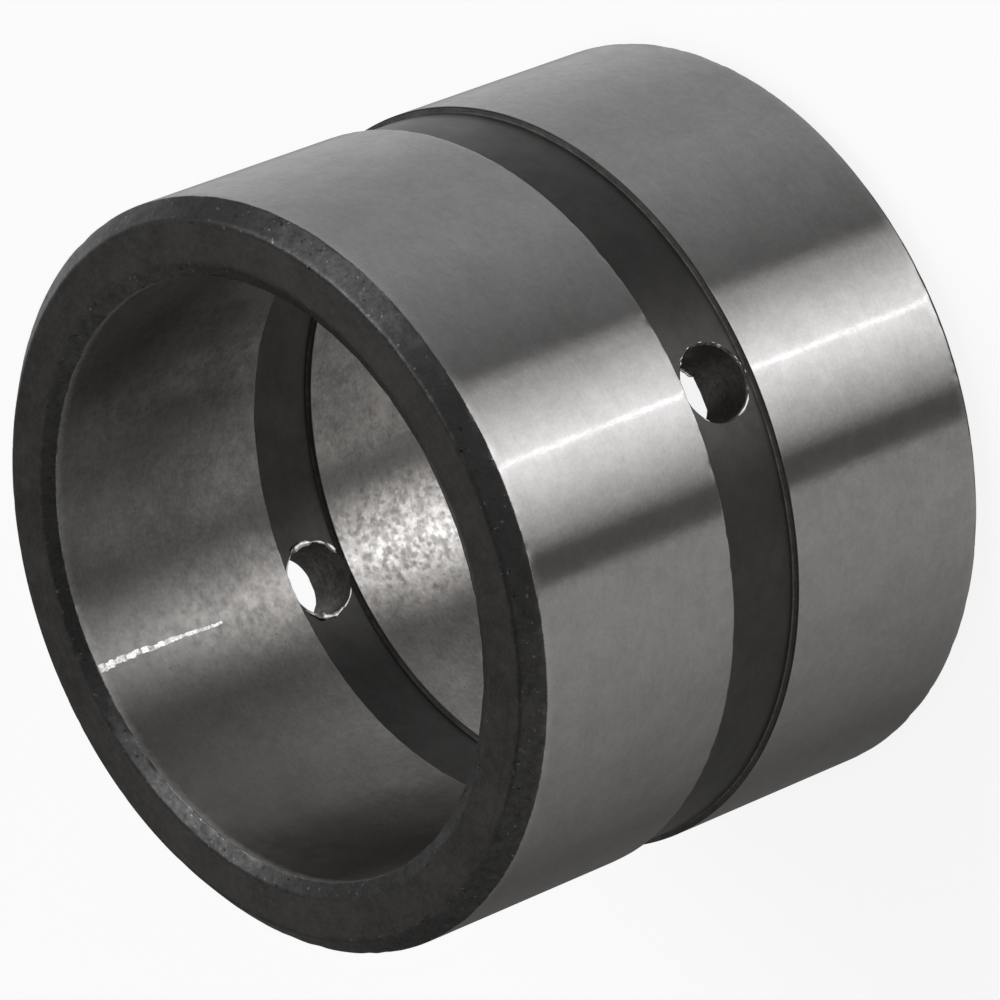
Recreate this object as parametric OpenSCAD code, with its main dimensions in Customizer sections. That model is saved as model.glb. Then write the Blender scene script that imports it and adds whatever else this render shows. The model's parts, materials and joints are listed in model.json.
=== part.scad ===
// Hardened steel pin bushing, standing on one end.
// A plain sleeve with a wide shallow grease groove round the outside, a matching
// groove round the bore, and oil holes that join the two through the wall.
// The axis is Z, the lower end lies on Z = 0 and the first oil hole points along +X.

/* [Sleeve] */
// Bore diameter, ground to a running fit on the pin
bore_diameter = 60; // [30:0.5:120]
// Wall between the bore and the outside, which is ground to a press fit
wall_thickness = 7.5; // [6:0.25:20]
// Length over both ends
sleeve_length = 61; // [40:1:120]

/* [Edges] */
// Width of the 45 degree chamfer round the outside of each end
outer_chamfer = 1.9; // [0.5:0.1:2.5]
// How far the bore chamfer opens out across the end face
bore_chamfer_radial = 1.5; // [0.3:0.1:2]
// How far the bore chamfer runs into the bore
bore_chamfer_axial = 0.8; // [0.3:0.1:2]

/* [Outer grease groove] */
// Width of the groove between its two edges
outer_groove_width = 8.5; // [6:0.1:14]
// Depth of the groove below the outside surface
outer_groove_depth = 0.6; // [0.4:0.05:1]
// Radius of the corners at the foot of the groove
outer_groove_root = 0.15; // [0.1:0.05:0.35]

/* [Bore grease groove] */
// Width of the groove between its two edges
bore_groove_width = 7.4; // [6:0.1:14]
// Depth of the groove below the bore surface
bore_groove_depth = 0.5; // [0.4:0.05:1]
// Radius of the corners at the foot of the groove
bore_groove_root = 0.15; // [0.1:0.05:0.35]

/* [Oil holes] */
// Number of oil holes, evenly spaced round the wall
oil_hole_count = 2; // [1:1:6]
// Diameter of each oil hole
oil_hole_diameter = 7.6; // [3:0.1:12]
// Width of the small bevel where each hole opens into the outer groove
oil_hole_bevel = 0.25; // [0.1:0.05:0.4]

/* [Hidden] */

bore_radius = bore_diameter / 2;
outer_radius = bore_radius + wall_thickness;
middle_z = sleeve_length / 2;
outer_floor_radius = outer_radius - outer_groove_depth;
bore_floor_radius = bore_radius + bore_groove_depth;
oil_hole_radius = oil_hole_diameter / 2;
oil_hole_pitch = 360 / oil_hole_count;

// How far a cutting shape reaches past the surface it cuts
overrun = 1;
// How far the bevel cutter reaches past the groove floor, short of the groove edges
mouth_overrun = 0.1;
// Smoothness of the turned surfaces, of the oil holes and of the groove corners
sleeve_segments = 256;
hole_segments = 64;
root_segments = 24;

// Half section of the plain sleeve, with a chamfer at each of its four corners
module sleeve_section() {
    polygon([
        [bore_radius, bore_chamfer_axial],
        [bore_radius + bore_chamfer_radial, 0],
        [outer_radius - outer_chamfer, 0],
        [outer_radius, outer_chamfer],
        [outer_radius, sleeve_length - outer_chamfer],
        [outer_radius - outer_chamfer, sleeve_length],
        [bore_radius + bore_chamfer_radial, sleeve_length],
        [bore_radius, sleeve_length - bore_chamfer_axial]
    ]);
}

// Section of a groove cutter: its floor lies along Y at X = 0 and it opens towards +X
module groove_section(width, depth, root) {
    translate([root, -width / 2])
        square([depth + overrun - root, width]);
    translate([0, root - width / 2])
        square([depth + overrun, width - 2 * root]);
    for (side = [-1, 1])
        translate([root, side * (width / 2 - root)])
            circle(r = root, $fn = root_segments);
}

// Half section of the sleeve with both grooves cut at the middle of its length
module grooved_section() {
    difference() {
        sleeve_section();
        translate([outer_floor_radius, middle_z])
            groove_section(outer_groove_width, outer_groove_depth, outer_groove_root);
        translate([bore_floor_radius, middle_z])
            mirror([1, 0])
                groove_section(bore_groove_width, bore_groove_depth, bore_groove_root);
    }
}

// One oil hole from the axis out along +X, with the bevel round its outer mouth
module oil_hole_cut() {
    bevel_height = oil_hole_bevel + mouth_overrun;
    rotate([0, 90, 0])
        cylinder(r = oil_hole_radius, h = outer_radius + overrun, $fn = hole_segments);
    translate([outer_floor_radius - oil_hole_bevel, 0, 0])
        rotate([0, 90, 0])
            cylinder(r1 = oil_hole_radius, r2 = oil_hole_radius + bevel_height,
                     h = bevel_height, $fn = hole_segments);
}

// The bushing, one turned and drilled piece of steel
module bushing() {
    color([0.42, 0.42, 0.43])
        difference() {
            rotate_extrude($fn = sleeve_segments)
                grooved_section();
            for (index = [0 : oil_hole_count - 1])
                translate([0, 0, middle_z])
                    rotate([0, 0, index * oil_hole_pitch])
                        oil_hole_cut();
        }
}

bushing();
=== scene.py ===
"""Hardened steel pin bushing on a pale studio floor: its detailed surface, finishes, lights and camera."""

import json
import math
import random
from collections import namedtuple

import bpy
import numpy as np
from mathutils import Matrix, Vector, noise


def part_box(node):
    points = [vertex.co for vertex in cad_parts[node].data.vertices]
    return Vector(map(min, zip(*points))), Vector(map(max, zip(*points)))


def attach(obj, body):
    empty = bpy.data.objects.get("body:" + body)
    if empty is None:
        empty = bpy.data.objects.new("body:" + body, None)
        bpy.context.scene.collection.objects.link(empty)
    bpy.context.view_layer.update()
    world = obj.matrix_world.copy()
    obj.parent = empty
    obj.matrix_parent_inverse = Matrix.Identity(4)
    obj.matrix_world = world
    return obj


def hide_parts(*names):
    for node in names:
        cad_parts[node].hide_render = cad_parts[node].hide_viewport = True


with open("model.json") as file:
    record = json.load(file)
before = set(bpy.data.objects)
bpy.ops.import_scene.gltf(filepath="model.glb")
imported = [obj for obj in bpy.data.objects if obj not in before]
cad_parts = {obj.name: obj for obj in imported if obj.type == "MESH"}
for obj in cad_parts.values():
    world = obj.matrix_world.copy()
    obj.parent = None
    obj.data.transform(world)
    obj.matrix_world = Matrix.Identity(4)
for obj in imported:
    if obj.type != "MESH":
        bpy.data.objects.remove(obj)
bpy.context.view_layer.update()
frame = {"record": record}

MM = 0.001

# Sizes
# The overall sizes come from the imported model, the rest are the sleeve's own details.
low_corner, top_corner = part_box("bushing")
mounts = {mount["name"]: mount for mount in frame["record"]["mounts"]}
OUTER_RADIUS = min(-low_corner.x, top_corner.x, -low_corner.y, top_corner.y)
LENGTH = top_corner.z
MIDDLE = LENGTH / 2
BORE_RADIUS = mounts["bore"]["dims"]["r_mm"] * MM

OUTER_CHAMFER = 1.9 * MM
BORE_CHAMFER_RADIAL = 1.5 * MM
BORE_CHAMFER_AXIAL = 0.8 * MM
OUTER_GROOVE = {"half": 4.25 * MM, "depth": 0.6 * MM}
BORE_GROOVE = {"half": 3.7 * MM, "depth": 0.5 * MM}
ROOT_RADIUS = 0.15 * MM
HOLE_RADIUS = 3.8 * MM
HOLE_BEVEL = 0.25 * MM

# How far the drill's path rises over the groove floor at the bevel, and how far it passes the outside
CUTTER_LIFT = 0.06 * MM
CUTTER_OVERRUN = 1 * MM

# Edge radii: ground edges, the edges of the far groove walls, and the chamfers' edges on the end faces
SHARP_BREAK = 0.11 * MM
GROOVE_BREAK = 0.12 * MM
SOFT_BREAK = 0.8 * MM

# Columns of faces round the sleeve and round a hole, and rows of faces over a rounded corner
SEGMENTS = 640
HOLE_SEGMENTS = 120
ARC_STEPS = 3

# How far from its ends a run has extra rows that dents can press in, and the least distance of two rows
EXTRA_ROWS = (0.15 * MM, 0.45 * MM, 1.0 * MM)
LEAST_PITCH = 0.08 * MM

# Material slots of the sleeve's mesh, in order
FINISHES = ("ground_outside", "ground_bore", "turned_end", "chamfer", "groove", "worn_edge",
            "groove_wall", "hole_wall", "hole_bevel")

# Finish of the rounded corner by its radius
EDGE_FINISH = {SHARP_BREAK: "worn_edge", GROOVE_BREAK: "groove", SOFT_BREAK: "chamfer",
               ROOT_RADIUS: "groove_wall"}


# Half section
def section_corners():
    """Corners of the closed half section: r, z, edge radius, and the next run's finish and row pitch."""
    bore, outer = BORE_RADIUS, OUTER_RADIUS
    bore_floor = bore + BORE_GROOVE["depth"]
    outer_floor = outer - OUTER_GROOVE["depth"]
    inner_low, inner_high = MIDDLE - BORE_GROOVE["half"], MIDDLE + BORE_GROOVE["half"]
    outer_low, outer_high = MIDDLE - OUTER_GROOVE["half"], MIDDLE + OUTER_GROOVE["half"]
    # Row pitches: a wall in one run, the groove floors, the end faces and the chamfers
    long, floor, face, fine = 60 * MM, 2.5 * MM, 0.8 * MM, 0.4 * MM
    return [
        (bore, BORE_CHAMFER_AXIAL, SHARP_BREAK, "ground_bore", long),
        (bore, inner_low, GROOVE_BREAK, "groove_wall", long),
        (bore_floor, inner_low, ROOT_RADIUS, "groove", floor),
        (bore_floor, inner_high, ROOT_RADIUS, "groove_wall", long),
        (bore, inner_high, SHARP_BREAK, "ground_bore", long),
        (bore, LENGTH - BORE_CHAMFER_AXIAL, SHARP_BREAK, "chamfer", fine),
        (bore + BORE_CHAMFER_RADIAL, LENGTH, SOFT_BREAK, "turned_end", face),
        (outer - OUTER_CHAMFER, LENGTH, SOFT_BREAK, "chamfer", fine),
        (outer, LENGTH - OUTER_CHAMFER, SHARP_BREAK, "ground_outside", long),
        (outer, outer_high, SHARP_BREAK, "groove_wall", long),
        (outer_floor, outer_high, ROOT_RADIUS, "groove", floor),
        (outer_floor, outer_low, ROOT_RADIUS, "groove_wall", long),
        (outer, outer_low, GROOVE_BREAK, "ground_outside", long),
        (outer, OUTER_CHAMFER, SHARP_BREAK, "chamfer", fine),
        (outer - OUTER_CHAMFER, 0, SOFT_BREAK, "turned_end", face),
        (bore + BORE_CHAMFER_RADIAL, 0, SOFT_BREAK, "chamfer", fine),
    ]


def arc(corner, before, after, radius):
    """Points of the rounded corner between the runs that come from before and go on to after."""
    corner, before, after = Vector(corner), Vector(before), Vector(after)
    along_in = (corner - before).normalized()
    along_out = (after - corner).normalized()
    turn = along_in.angle_signed(along_out)
    reach = radius * math.tan(abs(turn) / 2)
    start, end = corner - along_in * reach, corner + along_out * reach
    centre = corner + (along_out - along_in).normalized() * radius / math.cos(turn / 2)
    spoke = start - centre
    points = []
    for step in range(ARC_STEPS):
        angle = -turn * step / ARC_STEPS
        points.append(centre + Vector((
            spoke.x * math.cos(angle) - spoke.y * math.sin(angle),
            spoke.x * math.sin(angle) + spoke.y * math.cos(angle),
        )))
    return points + [end]


def run_points(start, end, pitch):
    """Points strictly inside a straight run: close to both ends for dents, then at the given pitch."""
    length = (end - start).length
    places = {margin for margin in EXTRA_ROWS if margin < 0.4 * length}
    places |= {length - place for place in places}
    count = round(length / pitch)
    places |= {length * k / count for k in range(1, count)} if count > 1 else set()
    spaced = []
    for place in sorted(places):
        if not spaced or place - spaced[-1] > LEAST_PITCH:
            spaced.append(place)
    return [start + (end - start) * (place / length) for place in spaced]


def half_section():
    """The closed half section as arrays.

    They hold the radii, the heights, the finish of the run after each point, and whether it is in an arc.
    """
    corners = section_corners()
    count = len(corners)
    arcs = [
        arc(corners[i][:2], corners[i - 1][:2], corners[(i + 1) % count][:2], corners[i][2])
        for i in range(count)
    ]
    points, finishes, is_corner = [], [], []
    for i in range(count):
        _, _, radius, run_finish, pitch = corners[i]
        finish = FINISHES.index(run_finish)
        points += arcs[i]
        finishes += [FINISHES.index(EDGE_FINISH[radius])] * ARC_STEPS + [finish]
        is_corner += [False] + [True] * (ARC_STEPS - 1) + [False]
        inside = run_points(arcs[i][-1], arcs[(i + 1) % count][0], pitch)
        points += inside
        finishes += [finish] * len(inside)
        is_corner += [False] * len(inside)
    radii = np.array([point.x for point in points])
    heights = np.array([point.y for point in points])
    return radii, heights, np.array(finishes), np.array(is_corner)


def section_normals(radii, heights):
    """Unit normals of the closed half section, pointing out of the steel."""
    along_r = np.roll(radii, -1) - np.roll(radii, 1)
    along_z = np.roll(heights, -1) - np.roll(heights, 1)
    size = np.hypot(along_r, along_z)
    return -along_z / size, along_r / size


# Wear
def dent(depth, angles, radii, run, azimuth, place, along, across, deepest):
    """Adds a smooth dent to the depth array. Along is its size round the sleeve, across over the rows."""
    turn = (angles - azimuth + math.pi) % (2 * math.pi) - math.pi
    columns = np.abs(turn) * OUTER_RADIUS < 3 * along
    rows = np.abs(run - place) < 3 * across
    arc_length = turn[columns][:, None] * radii[rows][None, :]
    offset = (run[rows] - place)[None, :]
    swell = np.exp(-((arc_length / along) ** 2) - (offset / across) ** 2)
    depth[np.ix_(columns, rows)] += deepest * swell


def wear_depth(angles, radii, heights, finishes, is_corner):
    """How far handling has pressed in each vertex: nicks on the edges and a rough skin on the chamfers."""
    generator = random.Random(7)
    run = np.concatenate([[0], np.cumsum(np.hypot(np.diff(radii), np.diff(heights)))])
    depth = np.zeros((len(angles), len(radii)))
    worn = np.flatnonzero(is_corner & (finishes == FINISHES.index("worn_edge")))
    skin = np.flatnonzero(finishes == FINISHES.index("chamfer"))
    soft = np.flatnonzero(is_corner & (finishes == FINISHES.index("chamfer")))
    blows = (  # rows that are hit, how often, and the ranges of length, width and depth of the dents in mm
        (worn, 700, (0.15, 0.9), (0.12, 0.3), (0.01, 0.055)),
        (soft, 260, (0.2, 0.6), (0.15, 0.35), (0.01, 0.05)),
        (skin, 600, (0.2, 0.9), (0.15, 0.4), (0.005, 0.035)),
    )
    for rows, count, along, across, deep in blows:
        for _ in range(count):
            place = run[generator.choice(list(rows))]
            azimuth = generator.uniform(-math.pi, math.pi)
            length, width, deepest = (generator.uniform(*limits) * MM for limits in (along, across, deep))
            dent(depth, angles, radii, run, azimuth, place, length, width, deepest)
    return depth


# Sleeve mesh
def mesh_object(name, vertices, faces, finishes=None, face_finish=None):
    """A new object of the scene with the given mesh and, for the sleeve, a finish for each face."""
    mesh = bpy.data.meshes.new(name)
    mesh.from_pydata([tuple(v) for v in vertices], [], [tuple(f) for f in faces])
    if finishes:
        for finish in FINISHES:
            mesh.materials.append(finishes[finish])
        mesh.polygons.foreach_set("material_index", np.array(face_finish, dtype=np.int32))
    mesh.update()
    piece = bpy.data.objects.new(name, mesh)
    bpy.context.scene.collection.objects.link(piece)
    return piece


def turned_sleeve(finishes):
    """The sleeve turned from its half section, worn, before the holes are drilled."""
    radii, heights, run_finish, is_corner = half_section()
    out_r, out_z = section_normals(radii, heights)
    angles = np.arange(SEGMENTS) * 2 * math.pi / SEGMENTS
    depth = wear_depth(angles, radii, heights, run_finish, is_corner)
    r = radii[None, :] - depth * out_r[None, :]
    z = heights[None, :] - depth * out_z[None, :]
    x = r * np.cos(angles)[:, None]
    y = r * np.sin(angles)[:, None]
    vertices = np.stack([x, y, z], axis=-1).reshape(-1, 3)
    rows = len(radii)
    faces, face_finish = [], []
    for column in range(SEGMENTS):
        here, there = column * rows, (column + 1) % SEGMENTS * rows
        for row in range(rows):
            following = (row + 1) % rows
            faces.append((here + row, here + following, there + following, there + row))
            face_finish.append(run_finish[row])
    return mesh_object("bushing_sleeve", vertices, faces, finishes, face_finish)


def cutter_stations(side):
    """The drill's rings on one side, of (radius, distance): bevel foot, bevel edge and past the wall."""
    floor_radius = OUTER_RADIUS - OUTER_GROOVE["depth"]

    def on_floor(radius, turn):
        return math.sqrt(floor_radius**2 - (radius * math.cos(turn)) ** 2)

    foot, edge, past = [], [], []
    for k in range(HOLE_SEGMENTS):
        turn = 2 * math.pi * k / HOLE_SEGMENTS
        uneven = noise.noise(Vector((2.2 * math.cos(turn), 2.2 * math.sin(turn), 3.0 * side)))
        width = HOLE_BEVEL * (0.75 + 0.3 * uneven)
        flared = HOLE_RADIUS + width + CUTTER_LIFT
        foot.append((HOLE_RADIUS, on_floor(HOLE_RADIUS, turn) - width))
        edge.append((flared, on_floor(HOLE_RADIUS + width, turn) + CUTTER_LIFT))
        past.append((flared, OUTER_RADIUS + CUTTER_OVERRUN))
    return [(side, station) for station in (foot, edge, past)]


def hole_cutter(finishes):
    """The drill's path through both walls along X, with a slightly uneven bevel at each outer mouth."""
    vertices, faces, face_finish = [], [], []
    stations = cutter_stations(-1)[::-1] + cutter_stations(1)
    for side, station in stations:
        for k, (radius, distance) in enumerate(station):
            turn = 2 * math.pi * k / HOLE_SEGMENTS
            vertices.append((side * distance, radius * math.cos(turn), MIDDLE + radius * math.sin(turn)))
    drilled_wall = 2  # the run between the two bevel feet; all others belong to the bevels
    for station in range(len(stations) - 1):
        finish = FINISHES.index("hole_wall" if station == drilled_wall else "hole_bevel")
        for k in range(HOLE_SEGMENTS):
            following = (k + 1) % HOLE_SEGMENTS
            a, b = station * HOLE_SEGMENTS, (station + 1) * HOLE_SEGMENTS
            faces.append((a + k, a + following, b + following, b + k))
            face_finish.append(finish)
    faces.append(tuple(range(HOLE_SEGMENTS)))
    last = (len(stations) - 1) * HOLE_SEGMENTS
    faces.append(tuple(last + k for k in reversed(range(HOLE_SEGMENTS))))
    face_finish += [FINISHES.index("hole_bevel")] * 2
    return mesh_object("cutter", vertices, faces, finishes, face_finish)


def drill(piece, cutter):
    """Cuts the drill's path out of the sleeve and removes the cutter. Both have the same slots."""
    modifier = piece.modifiers.new("drill", "BOOLEAN")
    modifier.operation = "DIFFERENCE"
    modifier.solver = "EXACT"
    modifier.material_mode = "INDEX"
    modifier.object = cutter
    depsgraph = bpy.context.evaluated_depsgraph_get()
    mesh = bpy.data.meshes.new_from_object(piece.evaluated_get(depsgraph))
    piece.modifiers.clear()
    piece.data = mesh
    bpy.data.objects.remove(cutter)
    mesh.shade_smooth()
    mesh.set_sharp_from_angle(angle=math.radians(38))
    sharpen_hole_edges(mesh)


def sharpen_hole_edges(mesh):
    """Marks the edges sharp where a drilled face meets a face of another finish."""
    drilled = {FINISHES.index("hole_wall"), FINISHES.index("hole_bevel")}
    finish_of_edge = {}
    for face in mesh.polygons:
        for key in face.edge_keys:
            finish_of_edge.setdefault(key, set()).add(face.material_index)
    for edge in mesh.edges:
        meeting = finish_of_edge[edge.key]
        if len(meeting) > 1 and meeting & drilled:
            edge.use_edge_sharp = True


# Node helper
class Graph:
    """Adds nodes to a tree and wires them."""

    def __init__(self, tree):
        self.tree = tree
        tree.nodes.clear()

    def node(self, kind, inputs=None, **settings):
        """A node with settings, and inputs by name or number: a socket is linked, a value is set."""
        made = self.tree.nodes.new(kind)
        for name, value in settings.items():
            setattr(made, name, value)
        for key, value in (inputs or {}).items():
            if isinstance(value, bpy.types.NodeSocket):
                self.tree.links.new(value, made.inputs[key])
            else:
                made.inputs[key].default_value = value
        return made

    def math(self, operation, *values):
        """The result of a sum, product or the like."""
        return self.node("ShaderNodeMath", dict(enumerate(values)), operation=operation).outputs[0]

    def between(self, value, low, high, to_low=0.0, to_high=1.0):
        """The value's place from low to high, spread over to_low to to_high."""
        inputs = {0: value, 1: low, 2: high, 3: to_low, 4: to_high}
        return self.node("ShaderNodeMapRange", inputs).outputs[0]

    def noise(self, vector, scale, detail=2.0, roughness=0.6, w=None):
        """Noise of the given scale. Another w gives another pattern."""
        inputs = {"Vector": vector, "Scale": scale, "Detail": detail, "Roughness": roughness}
        if w is not None:
            inputs["W"] = w
        dimensions = "3D" if w is None else "4D"
        return self.node("ShaderNodeTexNoise", inputs, noise_dimensions=dimensions).outputs["Fac"]

    def vector(self, operation, *values):
        """The node of a sum, length or the like of vectors."""
        return self.node("ShaderNodeVectorMath", dict(enumerate(values)), operation=operation)

    def mix_colour(self, share, first, second):
        """The first colour with a share of the second."""
        inputs = {0: share, 6: first, 7: second}
        return self.node("ShaderNodeMix", inputs, data_type="RGBA").outputs[2]


def grey(level, warmth=0.0):
    """An RGBA grey, a little warmer or cooler."""
    return (level * (1 + warmth), level, level * (1 - warmth), 1.0)


# Finishes
class Surface:
    """The colour, roughness and normal of one finish of the steel. Marks are added to it one by one."""

    CONTRAST = 0.1  # how far the tone strays from its middle before it is darkest or lightest

    def __init__(self, graph, tones, rough, layers, warmth):
        self.graph = graph
        self.lightest = tones[1]
        self.warmth = warmth
        self.normal = None
        self.point = graph.node("ShaderNodeTexCoord").outputs["Object"]
        self.x, self.y, self.z = graph.node("ShaderNodeSeparateXYZ", {0: self.point}).outputs
        squares = [graph.math("MULTIPLY", value, value) for value in (self.x, self.y)]
        self.radius = graph.math("SQRT", graph.math("ADD", *squares))

        tone = 0.0
        for size, relief, share in layers:
            field = self.turning_lines(*size) if isinstance(size, tuple) else self.mottling(size)
            if share:
                tone = graph.math("ADD", graph.math("MULTIPLY", field, share), tone)
            if relief:
                self.bump(field, relief)
        low, high = 0.5 - self.CONTRAST, 0.5 + self.CONTRAST
        darkest, lightest = (grey(level, warmth) for level in tones)
        self.colour = graph.mix_colour(graph.between(tone, low, high), darkest, lightest)
        self.roughness = graph.between(tone, low, high, rough[1], rough[0])

    def mottling(self, size, **settings):
        """Noise of the given size."""
        return self.graph.noise(self.point, 1 / size, **settings)

    def turning_lines(self, pitch, length):
        """Noise drawn out round the axis, as lines of a pitch across and a length along."""
        stretched = self.graph.vector("DIVIDE", self.point, (length, length, pitch)).outputs[0]
        across = self.graph.math("DIVIDE", self.radius, pitch)
        return self.graph.noise(stretched, 1.0, detail=3.0, w=across)

    def bump(self, field, relief):
        """Adds a relief to the normal."""
        inputs = {"Strength": 1.0, "Distance": relief, "Height": field}
        if self.normal:
            inputs["Normal"] = self.normal
        self.normal = self.graph.node("ShaderNodeBump", inputs).outputs[0]

    def tint(self, share, level, warmth=0.0):
        """Mixes a grey into the colour."""
        self.colour = self.graph.mix_colour(share, self.colour, grey(level, warmth))

    def away_from(self, middle, reach):
        """How far a point is from the middle of an egg-shaped region: 0 in its middle and 1 at its end."""
        offset = self.graph.vector("SUBTRACT", self.point, middle).outputs[0]
        offset = self.graph.vector("DIVIDE", offset, reach).outputs[0]
        return self.graph.vector("LENGTH", offset).outputs["Value"]

    def patches(self, size, strength):
        """Mark: patches that are polished or dull."""
        field = self.mottling(size, detail=3.0, w=8.1)
        dull = self.graph.between(field, 0.42, 0.6, -strength, strength)
        self.roughness = self.graph.math("ADD", self.roughness, dull)

    def rubbed_with_painted_highlight(self, middle, reach, size, relief, share):
        """Mark: a region worn smoother and uneven, its colour lightened as a painted highlight, with the
        size and relief of its unevenness.
        """
        field = self.mottling(size, detail=1.0, roughness=0.5, w=5.2)
        away = self.away_from(middle, reach)
        inside = self.graph.between(self.graph.math("ADD", away, field), 1.7, 1.0)
        painted_highlight = self.graph.math("MULTIPLY", inside, self.graph.between(field, 0.36, 0.66, 0.0, share))
        # painted highlight: the colour is lightened here, besides the real smoothing and relief
        self.tint(painted_highlight, 0.9, self.warmth)
        smoother = self.graph.math("MULTIPLY", painted_highlight, 0.12)
        self.roughness = self.graph.math("SUBTRACT", self.roughness, smoother)
        self.bump(self.graph.math("MULTIPLY", inside, field), relief)

    def painted_shade_patch(self, middle, reach, loss):
        """Mark: painted shade, a region darkened in colour where the bore's reflection should be dimmer.
        """
        self.tint(self.graph.between(self.away_from(middle, reach), 1.05, 0.4, 0.0, loss), 0.0)

    def painted_fade(self, low, high, loss):
        """Mark: painted shade, the colour darker towards the upper of two heights."""
        self.tint(self.graph.between(self.z, low, high, 0.0, loss), 0.0)

    def dull_strip(self, edge):
        """Mark: a dull, lighter strip where a ground surface ends, at a height edge from the middle."""
        height = self.graph.math("ABSOLUTE", self.graph.math("SUBTRACT", self.z, MIDDLE))
        ragged = self.graph.math("MULTIPLY", self.mottling(0.8 * MM), 0.8 * MM)
        place = self.graph.math("ADD", height, ragged)
        strip = self.graph.between(place, edge - 0.5 * MM, edge + 0.3 * MM)
        self.roughness = self.graph.math("ADD", self.roughness, self.graph.math("MULTIPLY", strip, 0.12))
        lighter = min(0.9, 1.25 * self.lightest)
        self.tint(self.graph.math("MULTIPLY", strip, 0.5), lighter, self.warmth)

    def pits(self, size, threshold, darkness):
        """Mark: dark spots where noise of a size is over a threshold."""
        deep = self.graph.between(self.mottling(size), threshold, threshold + 0.06)
        self.tint(deep, darkness, self.warmth)

    def flecks(self, size, threshold, level):
        """Mark: bare bright spots where noise of a size is over a threshold."""
        field = self.mottling(size, roughness=0.5, w=3.7)
        self.tint(self.graph.between(field, threshold, threshold + 0.05), level)


def steel(name, tones, rough, layers, marks=(), anisotropy=0.0, warmth=0.0, coat=0.0):
    """One finish of the steel.

    tones: its darkest and lightest reflectance; rough: its lowest and highest roughness
    layers: size or (pitch, length) of lines round the axis, relief, share in the tone
    marks: the marks of Surface with their values, in the order in which they are added
    coat: how much of it a thin film of oil covers
    """
    material = bpy.data.materials.new(name)
    material.use_nodes = True
    graph = Graph(material.node_tree)
    surface = Surface(graph, tones, rough, layers, warmth)
    for mark, *values in marks:
        mark(surface, *values)
    inputs = {
        "Base Color": surface.colour,
        "Metallic": 1.0,
        "Roughness": surface.roughness,
        "Normal": surface.normal,
        "Anisotropic": anisotropy,
        "Anisotropic Rotation": 0.25,
        "Coat Weight": coat,
        "Coat Roughness": 0.35,
    }
    if anisotropy:
        inputs["Tangent"] = graph.node("ShaderNodeTangent", direction_type="RADIAL", axis="Z").outputs[0]
    shader = graph.node("ShaderNodeBsdfPrincipled", inputs)
    graph.node("ShaderNodeOutputMaterial", {0: shader.outputs[0]})
    return material


def bore_point(azimuth, height):
    """The point of the bore at an azimuth in degrees and a height."""
    turn = math.radians(azimuth)
    return (BORE_RADIUS * math.cos(turn), BORE_RADIUS * math.sin(turn), height)


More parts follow.
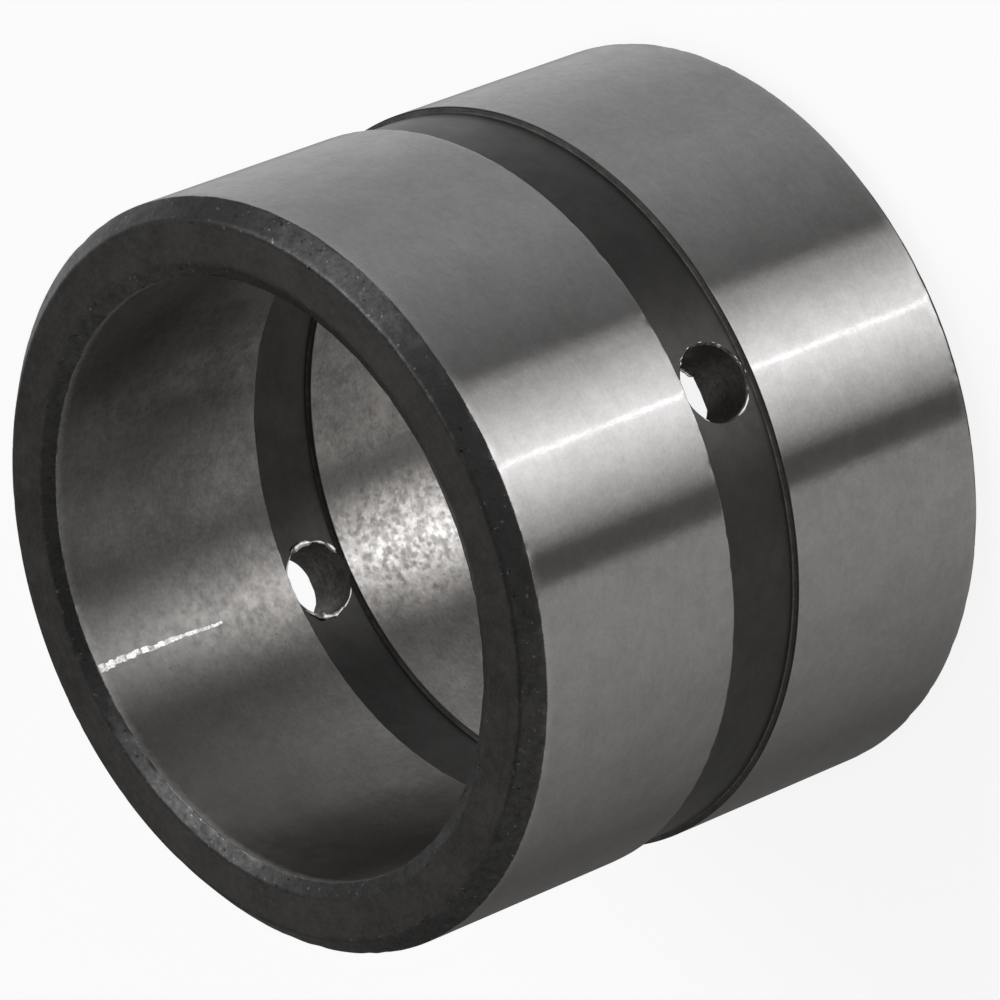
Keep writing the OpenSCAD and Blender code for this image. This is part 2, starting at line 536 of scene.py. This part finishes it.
def make_finishes():
    """The materials of the steel by name. Sizes in a layer are in metres, from lines to broad mottling."""
    micron = 0.001 * MM
    return {
        "ground_outside": steel(
            "ground_outside", (0.50, 0.60), (0.11, 0.15), [
                ((0.16 * MM, 2.5 * MM), 0.3 * micron, 0.2),
                (0.35 * MM, 0.9 * micron, 0.25),
                (0.9 * MM, 2.5 * micron, 0.25),
                (4 * MM, 4 * micron, 0.3),
            ], marks=[
                (Surface.patches, 2.0 * MM, 0.02),
                (Surface.dull_strip, MIDDLE - OUTER_CHAMFER),
            ], anisotropy=1.0, warmth=0.004),
        "ground_bore": steel(
            "ground_bore", (0.50, 0.68), (0.32, 0.42), [
                ((0.2 * MM, 2 * MM), 0.6 * micron, 0.15),
                (0.4 * MM, 2.5 * micron, 0.3),
                (1.0 * MM, 3.0 * micron, 0.25),
                (5 * MM, 6 * micron, 0.3),
            ], marks=[
                (Surface.patches, 1.6 * MM, 0.03),
                # The two bright regions are partly worn smoother and partly painted highlight; the two
                # dark regions and the darkening towards the mouth are painted shade.
                (Surface.rubbed_with_painted_highlight, (-BORE_RADIUS, 1.3 * MM, 18 * MM), (15 * MM, 8.5 * MM, 14 * MM),
                 0.7 * MM, 20 * micron, 1.0),
                (Surface.rubbed_with_painted_highlight, (-BORE_RADIUS, 0, 46 * MM), (15 * MM, 4.5 * MM, 18 * MM),
                 0.9 * MM, 9 * micron, 0.45),
                (Surface.painted_shade_patch, bore_point(126, 46 * MM), (15 * MM, 15 * MM, 22 * MM), 0.5),
                (Surface.painted_shade_patch, bore_point(-117, 47 * MM), (16 * MM, 16 * MM, 25 * MM), 0.45),
                (Surface.painted_fade, MIDDLE, LENGTH, 0.28),
                (Surface.dull_strip, MIDDLE - BORE_CHAMFER_AXIAL),
                (Surface.pits, 0.5 * MM, 0.72, 0.2),
            ], anisotropy=0.95, warmth=0.025),
        "turned_end": steel(
            "turned_end", (0.12, 0.18), (0.42, 0.55), [
                ((0.2 * MM, 6 * MM), 3 * micron, 0.2),
                (0.4 * MM, 4 * micron, 0.25),
                (1.2 * MM, 8 * micron, 0.25),
                (5 * MM, 0, 0.3),
            ], anisotropy=0.4, warmth=0.025),
        "chamfer": steel(
            "chamfer", (0.10, 0.17), (0.28, 0.38), [
                ((0.3 * MM, 2 * MM), 2 * micron, 0.1),
                (0.35 * MM, 5 * micron, 0.3),
                (1.0 * MM, 12 * micron, 0.3),
                (2.5 * MM, 20 * micron, 0.3),
            ], marks=[
                (Surface.pits, 0.8 * MM, 0.66, 0.05),
                (Surface.flecks, 0.5 * MM, 0.66, 0.40),
            ], warmth=0.01),
        "groove": steel(
            "groove", (0.04, 0.065), (0.42, 0.55), [
                ((0.2 * MM, 8 * MM), 2 * micron, 0.15),
                (0.4 * MM, 3 * micron, 0.2),
                (1.5 * MM, 6 * micron, 0.25),
                (5 * MM, 0, 0.4),
            ], anisotropy=0.5, warmth=0.035, coat=1.0),
        "groove_wall": steel(
            "groove_wall", (0.23, 0.32), (0.7, 0.85), [
                ((0.2 * MM, 8 * MM), 2 * micron, 0.3),
                (0.6 * MM, 5 * micron, 0.3),
                (3 * MM, 0, 0.4),
            ], warmth=0.03),
        "worn_edge": steel(
            "worn_edge", (0.12, 0.60), (0.25, 0.4), [
                (0.3 * MM, 6 * micron, 0.3),
                (1.2 * MM, 12 * micron, 0.4),
                (4 * MM, 0, 0.3),
            ], warmth=0.01),
        "hole_wall": steel(
            "hole_wall", (0.16, 0.28), (0.45, 0.6), [
                ((0.3 * MM, 3 * MM), 4 * micron, 0.3),
                (0.4 * MM, 6 * micron, 0.3),
                (1.2 * MM, 8 * micron, 0.2),
                (3 * MM, 0, 0.2),
            ], warmth=0.05),
        "hole_bevel": steel(
            "hole_bevel", (0.08, 0.30), (0.3, 0.45), [
                (0.4 * MM, 15 * micron, 0.5),
                (0.9 * MM, 25 * micron, 0.5),
            ], marks=[(Surface.flecks, 0.6 * MM, 0.6, 0.6)], warmth=0.01),
        "torn_steel": steel(
            "torn_steel", (0.80, 0.98), (0.24, 0.36), [
                (0.2 * MM, 5 * micron, 0.5),
                (0.6 * MM, 10 * micron, 0.5),
            ]),
        "scored_steel": steel(
            "scored_steel", (0.70, 0.98), (0.17, 0.3), [
                (0.2 * MM, 9 * micron, 0.5),
                (0.6 * MM, 12 * micron, 0.5),
            ]),
    }


# Torn lips at the hole mouths
# A strip of torn steel has this many faces round its section, and this many degrees round the hole a face.
STRIP_SIDES = 10
STRIP_STEP = 1.3


def add_steel_piece(name, vertices, faces, material, smooth):
    """A small piece of torn steel that belongs to the sleeve."""
    piece = mesh_object(name, vertices, faces)
    piece.data.materials.append(material)
    if smooth:
        piece.data.shade_smooth()
    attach(piece, "root")


def torn_strip(vertices, faces, side, outward, ring, surface, start, end, thickness, seed):
    """Adds a ragged strip of torn steel that lies on a surface round the mouth of a hole.

    side: +1 or -1, the hole on the side of +X or -X; outward: +1 outside the sleeve, -1 in the bore
    ring: distance from the middle of the hole; surface: radius that the strip lies on
    start, end: where it begins and ends round the hole, in degrees from +Y towards +Z
    """
    sides = STRIP_SIDES
    first = len(vertices)
    steps = max(5, round(abs(end - start) / STRIP_STEP))
    for k in range(steps + 1):
        share = k / steps
        turn = math.radians(start + (end - start) * share)
        place = Vector((seed + 4 * math.cos(turn), 4 * math.sin(turn), 4.0))
        swell = 0.75 + 0.5 * noise.noise(place)
        stray = 0.25 * noise.noise(place * 0.6 + Vector((0, 0, 9)))
        thick = thickness * max(0.05, math.sin(math.pi * share)) ** 0.5 * max(0.25, swell)
        for j in range(sides):
            spin = 2 * math.pi * j / sides
            rough = 1 + 0.12 * noise.noise(Vector((9 * share, 3.0 * j, seed)))
            radius = ring + thickness * stray + 0.5 * thick * rough * math.cos(spin)
            rise = 0.2 * thick + 0.17 * thick * rough * math.sin(spin)
            y, dz = radius * math.cos(turn), radius * math.sin(turn)
            x = math.sqrt((surface + outward * rise) ** 2 - y**2)
            vertices.append((side * x, y, MIDDLE + dz))

    strip = [tuple(first + j for j in range(sides))]
    for k in range(steps):
        here, there = first + sides * k, first + sides * (k + 1)
        for j in range(sides):
            following = (j + 1) % sides
            strip.append((here + j, there + j, there + following, here + following))
    strip.append(tuple(first + sides * steps + j for j in reversed(range(sides))))
    if side * outward < 0:
        strip = [face[::-1] for face in strip]
    faces += strip


# Start, end and thickness of the lips round an inner mouth, in degrees and mm
INNER_LIPS = (
    (-14, 34, 1.0), (-64, -38, 0.9), (-42, -12, 0.45), (128, 200, 0.85), (196, 240, 0.35), (30, 130, 0.2),
)


def torn_lips(material):
    """Torn lips where the drill broke through into the bore, and small chips round each outer mouth."""
    generator = random.Random(11)
    bore_floor = BORE_RADIUS + BORE_GROOVE["depth"]
    outer_floor = OUTER_RADIUS - OUTER_GROOVE["depth"]
    for side, side_name in ((-1, "second"), (1, "first")):
        vertices, faces = [], []
        for start, end, thickness in INNER_LIPS:
            ring = HOLE_RADIUS + (0.12 if start > 100 else -0.05) * MM
            torn_strip(vertices, faces, side, -1, ring, bore_floor, start, end, thickness * MM, 5.3 * side)
        add_steel_piece(f"{side_name}_hole_inner_lip", vertices, faces, material, smooth=True)

        vertices, faces = [], []
        rim = HOLE_RADIUS + 0.6 * HOLE_BEVEL
        torn_strip(vertices, faces, side, 1, rim, outer_floor, 198, 238, 0.36 * MM, 2.1 * side)
        for _ in range(16):
            start = generator.uniform(0, 360)
            ring = rim + generator.uniform(-0.05, 0.15) * MM
            end = start + generator.uniform(5, 12)
            thickness = generator.uniform(0.12, 0.24) * MM
            torn_strip(vertices, faces, side, 1, ring, outer_floor, start, end, thickness, start)
        add_steel_piece(f"{side_name}_hole_outer_chips", vertices, faces, material, smooth=True)


def bore_score(material):
    """A line of small lifted scales where a pin has scored the bore inwards from its mouth."""
    generator = random.Random(5)
    vertices, faces = [], []
    azimuth = math.pi + math.asin(0.5 * MM / BORE_RADIUS)
    top = LENGTH - 0.9 * MM
    lowest = LENGTH - 16.5 * MM
    while top > lowest:
        length = generator.uniform(0.35, 0.7) * MM
        half_width = 0.14 * MM + 0.018 * (top - lowest)  # wider towards the mouth
        left = azimuth - generator.uniform(0.6, 1.1) * half_width / BORE_RADIUS
        right = azimuth + generator.uniform(0.6, 1.1) * half_width / BORE_RADIUS
        lift = length * generator.uniform(0.42, 0.58)
        foot = top - length
        sunk = BORE_RADIUS + 0.05 * MM
        first = len(vertices)
        for radius, height in ((sunk, top), (BORE_RADIUS - lift, foot), (sunk, foot - 0.05 * MM)):
            for side in (left, right):
                vertices.append((radius * math.cos(side), radius * math.sin(side), height))
        scale = ((0, 1, 3, 2), (2, 3, 5, 4), (4, 5, 1, 0), (0, 2, 4), (1, 5, 3))
        faces += [tuple(first + corner for corner in face) for face in scale]
        top = foot + generator.uniform(-0.1, 0.12) * MM
        azimuth += generator.uniform(-0.05, 0.05) * MM / BORE_RADIUS
    add_steel_piece("bore_score", vertices, faces, material, smooth=False)


# Stage
def stage_floor():
    """A plain pale floor, which the steel neither mirrors nor shades."""
    half = 4.0
    below = -0.01 * MM  # so that the floor and the end face don't share a plane
    corners = [(-half, -half, below), (half, -half, below), (half, half, below), (-half, half, below)]
    floor = mesh_object("floor", corners, [(0, 1, 2, 3)])
    material = bpy.data.materials.new("pale_floor")
    material.use_nodes = True
    graph = Graph(material.node_tree)
    shader = graph.node("ShaderNodeBsdfPrincipled", {
        "Base Color": (0.35, 0.35, 0.35, 1),
        "Roughness": 1.0,
        "Specular IOR Level": 0.0,
        "Emission Color": (1, 1, 1, 1),
        "Emission Strength": 0.86,
    })
    graph.node("ShaderNodeOutputMaterial", {0: shader.outputs[0]})
    floor.data.materials.append(material)
    floor.visible_glossy = False
    floor.visible_shadow = False


# A soft upright panel, with its angles in degrees. Aim is the azimuth of its middle, soft how far it fades
# at its sides of lower and higher azimuth, and soft_height how far it fades past its heights.
Panel = namedtuple("Panel", "aim half_width soft heights soft_height brightness tint")

PANELS = {
    "all_round": Panel(aim=0, half_width=200, soft=(1, 1), heights=(-60, 75), soft_height=15,
                       brightness=0.07, tint="warm"),
    "key": Panel(aim=3.5, half_width=21.25, soft=(8, 6), heights=(-75, 25), soft_height=15,
                 brightness=0.44, tint="warm"),
    "key_middle": Panel(aim=3, half_width=0, soft=(20, 20), heights=(-75, 25), soft_height=15,
                        brightness=0.90, tint="cool"),
    "key_strip": Panel(aim=3, half_width=0.1, soft=(1, 1), heights=(-75, 25), soft_height=15,
                       brightness=0.75, tint="cool"),
    "cool_side": Panel(aim=115, half_width=42, soft=(50, 20), heights=(-60, 0), soft_height=15,
                       brightness=0.24, tint="cool"),
    "back": Panel(aim=150, half_width=12, soft=(35, 10), heights=(-60, 0), soft_height=15,
                  brightness=0.16, tint="cool"),
    "near_side": Panel(aim=-45, half_width=9, soft=(85, 3), heights=(-60, 30), soft_height=20,
                       brightness=0.24, tint="warm"),
    "upper_side": Panel(aim=87, half_width=29, soft=(8, 8), heights=(28, 72), soft_height=6,
                        brightness=0.68, tint="cool"),
    "high_side": Panel(aim=105, half_width=16, soft=(10, 10), heights=(48, 66), soft_height=5,
                       brightness=0.8, tint="cool"),
    "upper_back": Panel(aim=180, half_width=40, soft=(25, 20), heights=(22, 60), soft_height=15,
                        brightness=0.11, tint="warm"),
}
TINTS = {"warm": (1.0, 0.975, 0.955, 1), "cool": (0.99, 0.99, 1.0, 1)}
AMBIENT = 0.03
BACKDROP = 0.93


def panel_light(graph, azimuth, height, panel):
    """How brightly one soft panel shines from a direction: its azimuth and the sine of its elevation."""
    half, (soft_low, soft_high), (lowest, highest) = panel.half_width, panel.soft, panel.heights

    def sine(degrees):
        return math.sin(math.radians(degrees))

    away = graph.math("WRAP", graph.math("SUBTRACT", azimuth, math.radians(panel.aim)), math.pi, -math.pi)
    below = graph.between(away, math.radians(-half - soft_low), math.radians(-half))
    above = graph.between(away, math.radians(half + soft_high), math.radians(half))
    foot = graph.between(height, sine(lowest - panel.soft_height), sine(lowest))
    top = graph.between(height, sine(highest + panel.soft_height), sine(highest), 0.0, panel.brightness)
    return graph.math("MULTIPLY", graph.math("MULTIPLY", below, above), graph.math("MULTIPLY", foot, top))


def studio_light():
    """The world: soft upright panels as the steel sees them, and a plain backdrop as the camera sees it.

    The panels are broad and soft, so reflected rays find them and no light rays are aimed at the world.
    """
    world = bpy.data.worlds.new("studio")
    bpy.context.scene.world = world
    world.cycles.sampling_method = "NONE"
    world.use_nodes = True
    graph = Graph(world.node_tree)
    direction = graph.node("ShaderNodeTexCoord").outputs["Generated"]
    x, y, height = graph.node("ShaderNodeSeparateXYZ", {0: direction}).outputs
    azimuth = graph.math("ARCTAN2", y, x)
    totals = {"warm": AMBIENT, "cool": 0.0}
    for panel in PANELS.values():
        light = panel_light(graph, azimuth, height, panel)
        totals[panel.tint] = graph.math("ADD", light, totals[panel.tint])
    warm, cool = (
        graph.node("ShaderNodeBackground", {"Color": TINTS[tint], "Strength": totals[tint]}).outputs[0]
        for tint in ("warm", "cool")
    )
    panels = graph.node("ShaderNodeAddShader", {0: warm, 1: cool})
    backdrop = graph.node("ShaderNodeBackground", {"Color": (1, 1, 1, 1), "Strength": BACKDROP})
    seen = graph.node("ShaderNodeLightPath").outputs["Is Camera Ray"]
    mixed = graph.node("ShaderNodeMixShader", {0: seen, 1: panels.outputs[0], 2: backdrop.outputs[0]})
    graph.node("ShaderNodeOutputWorld", {0: mixed.outputs[0]})


# The camera at the photograph's viewing angle: lens and place in mm, its view and its upward direction
PHOTO_LENS = 311.85
PHOTO_PLACE = Vector((650.732, -35.764, 558.618))
PHOTO_LOOK = Vector((-0.775431, 0.041457, -0.630070))
PHOTO_UP = Vector((0.278837, 0.917761, -0.282780))


def photo_camera():
    """A long-lens camera, rolled so that the standing sleeve lies as it does in the photograph."""
    data = bpy.data.cameras.new("photo_camera")
    data.sensor_width = 36.0
    data.lens = PHOTO_LENS
    data.clip_end = 20.0
    camera = bpy.data.objects.new("photo_camera", data)
    look = PHOTO_LOOK.normalized()
    up = (PHOTO_UP - look * PHOTO_UP.dot(look)).normalized()
    right = look.cross(up)
    turn = Matrix((right, up, -look)).transposed()
    camera.matrix_world = Matrix.Translation(PHOTO_PLACE * MM) @ turn.to_4x4()
    bpy.context.scene.collection.objects.link(camera)
    bpy.context.scene.camera = camera


# The scene
finishes = make_finishes()
sleeve = turned_sleeve(finishes)
drill(sleeve, hole_cutter(finishes))
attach(sleeve, "root")
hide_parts("bushing")

torn_lips(finishes["torn_steel"])
bore_score(finishes["scored_steel"])

stage_floor()
studio_light()
photo_camera()
bpy.context.scene.view_settings.view_transform = "Standard"
